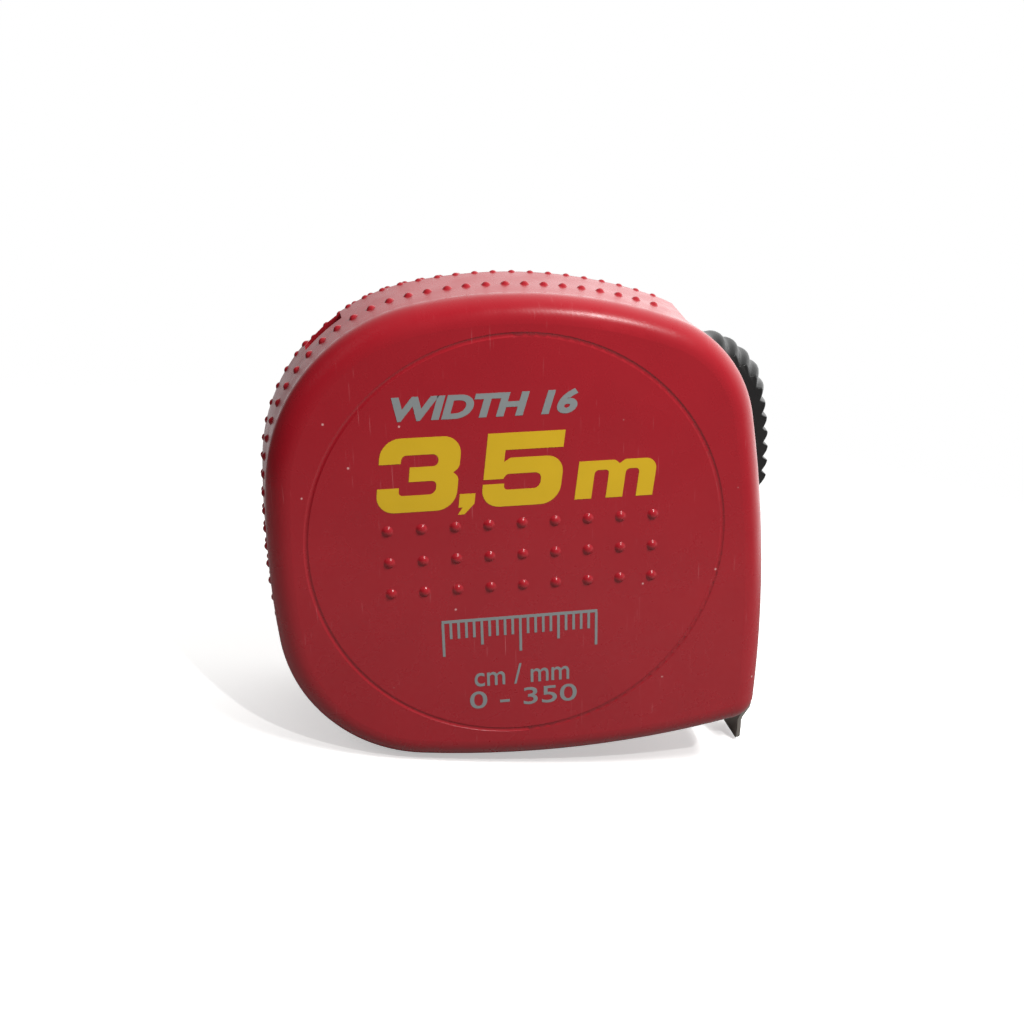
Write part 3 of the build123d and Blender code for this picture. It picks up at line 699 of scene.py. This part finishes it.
class TAPE_OT_hook(bpy.types.Operator):
    """Bent steel hook under the end of the blade"""
    bl_idname = "tape.hook"
    bl_label = "Hook"

    def execute(self, context):
        look, blade = context.scene.tape_hook, context.scene.tape_blade
        plated = worked_metal("dull_plated_steel", "#B7B3AC", 0.4, 0.2, 1)
        rear, front = (HOOK_LOW.x - REEL.x) / MM, (HOOK_HIGH.x - REEL.x) / MM
        tip_z = (HOOK_LOW.z - REEL.z) / MM
        base_z = (BLADE_LOW.z - REEL.z) / MM
        gap, bend = 0.05, look.bend     # gap: air between the blade and the hook's plate
        # path of the sheet's outer face: plate, bend, tab. Each entry is x, z, width and share of
        # the blade's curve
        path = [(rear + i * (front - bend - rear) / 10, -gap - look.sheet, look.plate_width, 1.0)
                for i in range(11)]
        for i in range(1, 7):
            turn = math.pi / 2 * i / 6
            path.append((front - bend + bend * math.sin(turn),
                         -gap - look.sheet - bend + bend * math.cos(turn),
                         look.plate_width + 0.4 * i / 6, 1 - i / 6))
        tab_top, tab_low = path[-1][1], tip_z - base_z + 0.3
        shoulder_top, shoulder_low = tab_top - 0.5, -4.6
        widths = [(shoulder_top, look.plate_width + 0.6), (shoulder_top - 0.55, look.shoulder - 0.5),
                  (shoulder_top - 1.0, look.shoulder), (shoulder_low + 0.4, look.shoulder),
                  (shoulder_low - 0.5, look.shoulder - 0.8), (shoulder_low - 3.6, look.tip + 0.8),
                  (shoulder_low - 4.4, look.tip), (tab_low + 2.0, look.tip),
                  (tab_low + 0.6, look.tip - 0.3),
                  (tab_low, look.tip - 1.4)]
        path += [(front, z, width, 0.0) for z, width in widths]
        shape = bmesh.new()
        rows = []
        columns = 16
        for x, z, width, curved in path:
            row = []
            for i in range(columns + 1):
                y = width * (i / columns - 0.5)
                lift = blade_section(-gap - look.sheet, y, blade.width, blade.sag) + gap + look.sheet
                row.append(shape.verts.new(at(x, y, base_z + z + lift * curved)))
            rows.append(row)
        grid_faces(shape, rows, False)
        mesh = mesh_from(shape)
        hook = piece_of("end_hook", mesh, plated, "hook", 40)
        up = sum((p.normal.z for p in mesh.polygons if p.center.x < at(front - 3, 0, 0).x), 0.0)
        skin = hook.modifiers.new("sheet", "SOLIDIFY")
        skin.thickness = look.sheet * MM
        skin.offset = 1.0 if up > 0 else -1.0
        edge = hook.modifiers.new("deburred edge", "BEVEL")
        edge.width, edge.segments, edge.limit_method = 0.08 * MM, 2, "ANGLE"
        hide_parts("hook")
        return {"FINISHED"}


def mark_on_blade(shape, centre, along, start, end, settings):
    """One graduation: a strip of ink that follows the blade's curve across it."""
    count = max(1, round(abs(end - start) / 0.8))
    rows = []
    for side in (-0.5, 0.5):
        row = []
        for i in range(count + 1):
            y = start + (end - start) * i / count
            z = blade_section(BLADE_THICK + INK_LIFT, y, settings.width, settings.sag)
            spot = at(centre + side * along, y, 0)
            row.append(shape.verts.new((spot.x, spot.y, BLADE_LOW.z + z * MM)))
        rows.append(row)
    grid_faces(shape, rows, False)


class TAPE_OT_blade(bpy.types.Operator):
    """Lacquered blade with millimetre graduations and centimetre numbers"""
    bl_idname = "tape.blade"
    bl_label = "Blade"

    def execute(self, context):
        look = context.scene.tape_blade
        lacquer = soft_skin("yellow_blade_lacquer", look.yellow, 0.3, 6.0, 0.003)
        dress(lacquer, "blade_tongue", "blade_coil")
        ink = soft_skin("black_scale_ink", look.black, 0.4, 4.0, 0.002)
        zero = (HOOK_HIGH.x - REEL.x) / MM - 0.6
        tail = (BLADE_LOW.x - REEL.x) / MM
        half = look.width / 2
        shape = bmesh.new()
        for step in range(2, int(zero - tail)):
            x = zero - step
            length = 5.2 if step % 10 == 0 else 3.8 if step % 5 == 0 else 2.6
            wide = 0.24 if step % 10 == 0 else 0.16
            for side in (-1, 1):
                mark_on_blade(shape, x, wide, side * (half - 0.1), side * (half - length), look)
        # centimetre numbers, read from the blade's end, with their feet towards the front of the case
        for number in range(1, int((zero - tail) / 10) + 1):
            curve = bpy.data.curves.new("number", "FONT")
            curve.body, curve.size, curve.offset, curve.resolution_u = str(number), 5.2, 0.05, 4
            curve.align_x, curve.align_y = "CENTER", "CENTER"
            flat = mesh_of_curve(curve)
            first = [shape.verts.new((0, 0, 0)) for _ in flat.vertices]
            for made, vertex in zip(first, flat.vertices):
                x = zero - number * 10 + 2.6 - vertex.co.x * 0.9
                y = -vertex.co.y
                z = blade_section(BLADE_THICK + INK_LIFT, y, look.width, look.sag)
                spot = at(x, y, 0)
                made.co = (spot.x, spot.y, BLADE_LOW.z + z * MM)
            for polygon in flat.polygons:
                shape.faces.new([first[i] for i in polygon.vertices])
        mesh = bpy.data.meshes.new("piece")
        for face in shape.faces:
            face.normal_update()
            if face.normal.z < 0:
                face.normal_flip()
        shape.to_mesh(mesh)
        shape.free()
        piece_of("blade_marks", mesh, ink, "blade", sharp=60)
        return {"FINISHED"}


class TAPE_OT_works(bpy.types.Operator):
    """Finish the reel, the springs, the brake and the blade guide"""
    bl_idname = "tape.works"
    bl_label = "Works"

    def execute(self, context):
        acetal = soft_skin("white_acetal", "#D9D6CC", 0.38, 5.0, 0.004, 1.48)
        dress(acetal, "reel_drum", "reel_cover", "thrust_washers", "blade_guide", "brake_plunger")
        spring = worked_metal("blued_spring_steel", "#6D7480", 0.28, 0.1, 1)
        dress(spring, "power_spring", "detent_spring", "brake_spring")
        rubber = soft_skin("black_brake_rubber", "#1C1C1C", 0.75, 2.0, 0.012, 1.52)
        dress(rubber, "brake_pad")
        return {"FINISHED"}


# --- studio --------------------------------------------------------------------------------

def soft_light(name, watts, side_mm, place, target, mirrored):
    """Round lamp. One that isn't mirrored lights the object and leaves no highlight on it."""
    lamp = bpy.data.lights.new(name, "AREA")
    lamp.shape, lamp.size, lamp.energy = "DISK", side_mm * MM, watts
    holder = bpy.data.objects.new(name, lamp)
    holder.location = place
    holder.rotation_euler = (target - place).to_track_quat("-Z", "Y").to_euler()
    holder.visible_glossy = mirrored
    bpy.context.scene.collection.objects.link(holder)


class TAPE_OT_stage(bpy.types.Operator):
    """Camera, soft light, room and the pale floor"""
    bl_idname = "tape.stage"
    bl_label = "Stage"

    def execute(self, context):
        look = context.scene.tape_stage
        scene = context.scene
        scene.view_settings.view_transform = "Standard"
        lens = bpy.data.cameras.new("camera")
        lens.sensor_width, lens.lens, lens.clip_start, lens.clip_end = 36.0, look.lens, 0.005, 20.0
        camera = bpy.data.objects.new("camera", lens)
        camera.location = REEL + Vector(look.eye)
        camera.rotation_euler = Euler([math.radians(a) for a in look.turn])
        scene.collection.objects.link(camera)
        scene.camera = camera
        middle = (CAD_BOX[0] + CAD_BOX[1]) / 2
        soft_light("key_light", look.key, 60, middle + Vector((0.10, -0.10, 0.155)), middle, False)
        soft_light("fill_light", look.fill, 200, middle + Vector((-0.22, -0.14, 0.24)), middle, False)
        soft_light("small_light", look.glint, 12, middle + Vector((0.20, -0.34, 0.38)), middle, True)
        # the room is pale behind the object and to its right, and dimmer in front of it and to its left
        room = bpy.data.worlds.new("room")
        scene.world = room
        room.use_nodes = True
        tree = room.node_tree
        tree.nodes.clear()
        where = add_node(tree, "ShaderNodeTexCoord").outputs["Generated"]
        parts = add_node(tree, "ShaderNodeSeparateXYZ", {0: where})
        depth = add_node(tree, "ShaderNodeMapRange", {"Value": parts.outputs["Y"], "From Min": -0.5,
                                                      "From Max": 0.35,
                                                      "To Min": 0.2, "To Max": 1.95})
        aside = add_node(tree, "ShaderNodeMapRange", {"Value": parts.outputs["X"], "From Min": -0.7,
                                                      "From Max": 0.35,
                                                      "To Min": 0.03 * look.air, "To Max": look.air})
        above = add_node(tree, "ShaderNodeMapRange", {"Value": parts.outputs["Z"], "From Min": 0.35,
                                                      "From Max": 0.95,
                                                      "To Min": 1.0, "To Max": 0.5})
        level = add_node(tree, "ShaderNodeMath", {0: depth.outputs[0], 1: aside.outputs[0]},
                         operation="MULTIPLY")
        strength = add_node(tree, "ShaderNodeMath", {0: level.outputs[0], 1: above.outputs[0]},
                            operation="MULTIPLY")
        air = add_node(tree, "ShaderNodeBackground", {"Color": (1, 1, 1, 1),
                                                      "Strength": strength.outputs[0]})
        paper = add_node(tree, "ShaderNodeBackground", {"Color": (1, 1, 1, 1), "Strength": 1.0})
        ray = add_node(tree, "ShaderNodeLightPath").outputs["Is Camera Ray"]
        both = add_node(tree, "ShaderNodeMixShader", {0: ray, 1: air.outputs[0], 2: paper.outputs[0]})
        add_node(tree, "ShaderNodeOutputWorld", {"Surface": both.outputs[0]})
        self.floor(scene)
        return {"FINISHED"}

    def floor(self, scene):
        """Sheet of pale card that touches the hook's tip and the rounded underside."""
        tip = Vector((HOOK_HIGH.x, 0, HOOK_LOW.z))
        lean = math.radians(60)
        for name in ("left_shell", "right_shell"):
            for vertex in frame["nodes"][name].data.vertices:
                if tip.x - vertex.co.x > 10 * MM:
                    lean = min(lean, math.atan2(vertex.co.z - tip.z, tip.x - vertex.co.x))
        shape = bmesh.new()
        rows = []
        for ring in range(1, 13):
            radius = 0.6 * (ring / 12) ** 2
            rows.append([shape.verts.new((radius * math.cos(math.tau * i / 64),
                                          radius * math.sin(math.tau * i / 64), 0))
                         for i in range(64)])
        grid_faces(shape, rows, True)
        shape.faces.new(rows[0])
        mesh = bpy.data.meshes.new("floor")
        shape.to_mesh(mesh)
        shape.free()
        floor = bpy.data.objects.new("floor", mesh)
        floor.location = tip - Vector((0, 0, 0.02 * MM))
        floor.rotation_euler = (0, lean, 0)
        scene.collection.objects.link(floor)
        card, tree = new_material("pale_card")
        where = add_node(tree, "ShaderNodeTexCoord").outputs["Object"]
        grain = add_node(tree, "ShaderNodeTexNoise", {"Vector": where, "Scale": 1 / (0.5 * MM),
                                                      "Detail": 3.0})
        bump = add_node(tree, "ShaderNodeBump", {"Height": grain.outputs[0], "Strength": 0.1,
                                                 "Distance": 0.02 * MM})
        seen = add_node(tree, "ShaderNodeBsdfPrincipled",
                        {"Base Color": linear("#F6F6F4"), "Roughness": 0.9,
                                                           "Emission Color": (1, 1, 1, 1),
                                                           "Emission Strength": 0.45,
                                                           "Normal": bump.outputs[0]})
        # the light it throws back at the object is that of a darker table
        thrown = add_node(tree, "ShaderNodeBsdfDiffuse", {"Color": linear("#8C8A88")})
        ray = add_node(tree, "ShaderNodeLightPath").outputs["Is Camera Ray"]
        paper = add_node(tree, "ShaderNodeMixShader", {0: ray, 1: thrown.outputs[0], 2: seen.outputs[0]})
        # the card fades into the white of the room, so that it has no visible edge
        away = add_node(tree, "ShaderNodeVectorMath", {0: where}, operation="LENGTH")
        fade = add_node(tree, "ShaderNodeMapRange", {"Value": away.outputs["Value"], "From Min": 0.07,
                                                     "From Max": 0.24},
                        interpolation_type="SMOOTHSTEP")
        clear = add_node(tree, "ShaderNodeBsdfTransparent")
        both = add_node(tree, "ShaderNodeMixShader", {0: fade.outputs[0], 1: paper.outputs[0],
                                                      2: clear.outputs[0]})
        finish_with(tree, both)
        mesh.materials.append(card)


class TAPE_PT_panel(bpy.types.Panel):
    """Settings and steps of the tape measure"""
    bl_idname = "TAPE_PT_panel"
    bl_label = "Tape measure"
    bl_space_type = "VIEW_3D"
    bl_region_type = "UI"
    bl_category = "Tape measure"

    def draw(self, context):
        for group in GROUPS:
            box = self.layout.box()
            settings = getattr(context.scene, group)
            for name in settings.__annotations__:
                box.prop(settings, name)
        for step in STEPS:
            self.layout.operator(step.bl_idname)


GROUPS = {"tape_case": TapeCaseSettings, "tape_print": TapePrintSettings, "tape_button": TapeButtonSettings,
          "tape_hook": TapeHookSettings, "tape_blade": TapeBladeSettings, "tape_stage": TapeStageSettings}
STEPS = [TAPE_OT_case, TAPE_OT_grip_dots, TAPE_OT_face_dots, TAPE_OT_print, TAPE_OT_thumb_lock,
         TAPE_OT_hook, TAPE_OT_blade, TAPE_OT_works, TAPE_OT_stage]


def register():
    for kind in [*GROUPS.values(), *STEPS, TAPE_PT_panel]:
        bpy.utils.register_class(kind)
    for name, kind in GROUPS.items():
        setattr(bpy.types.Scene, name, PointerProperty(type=kind))


def unregister():
    for name in GROUPS:
        delattr(bpy.types.Scene, name)
    for kind in reversed([*GROUPS.values(), *STEPS, TAPE_PT_panel]):
        bpy.utils.unregister_class(kind)


def main():
    register()
    for step in STEPS:
        group, name = step.bl_idname.split(".")
        getattr(getattr(bpy.ops, group), name)()


if __name__ == "__main__":
    main()
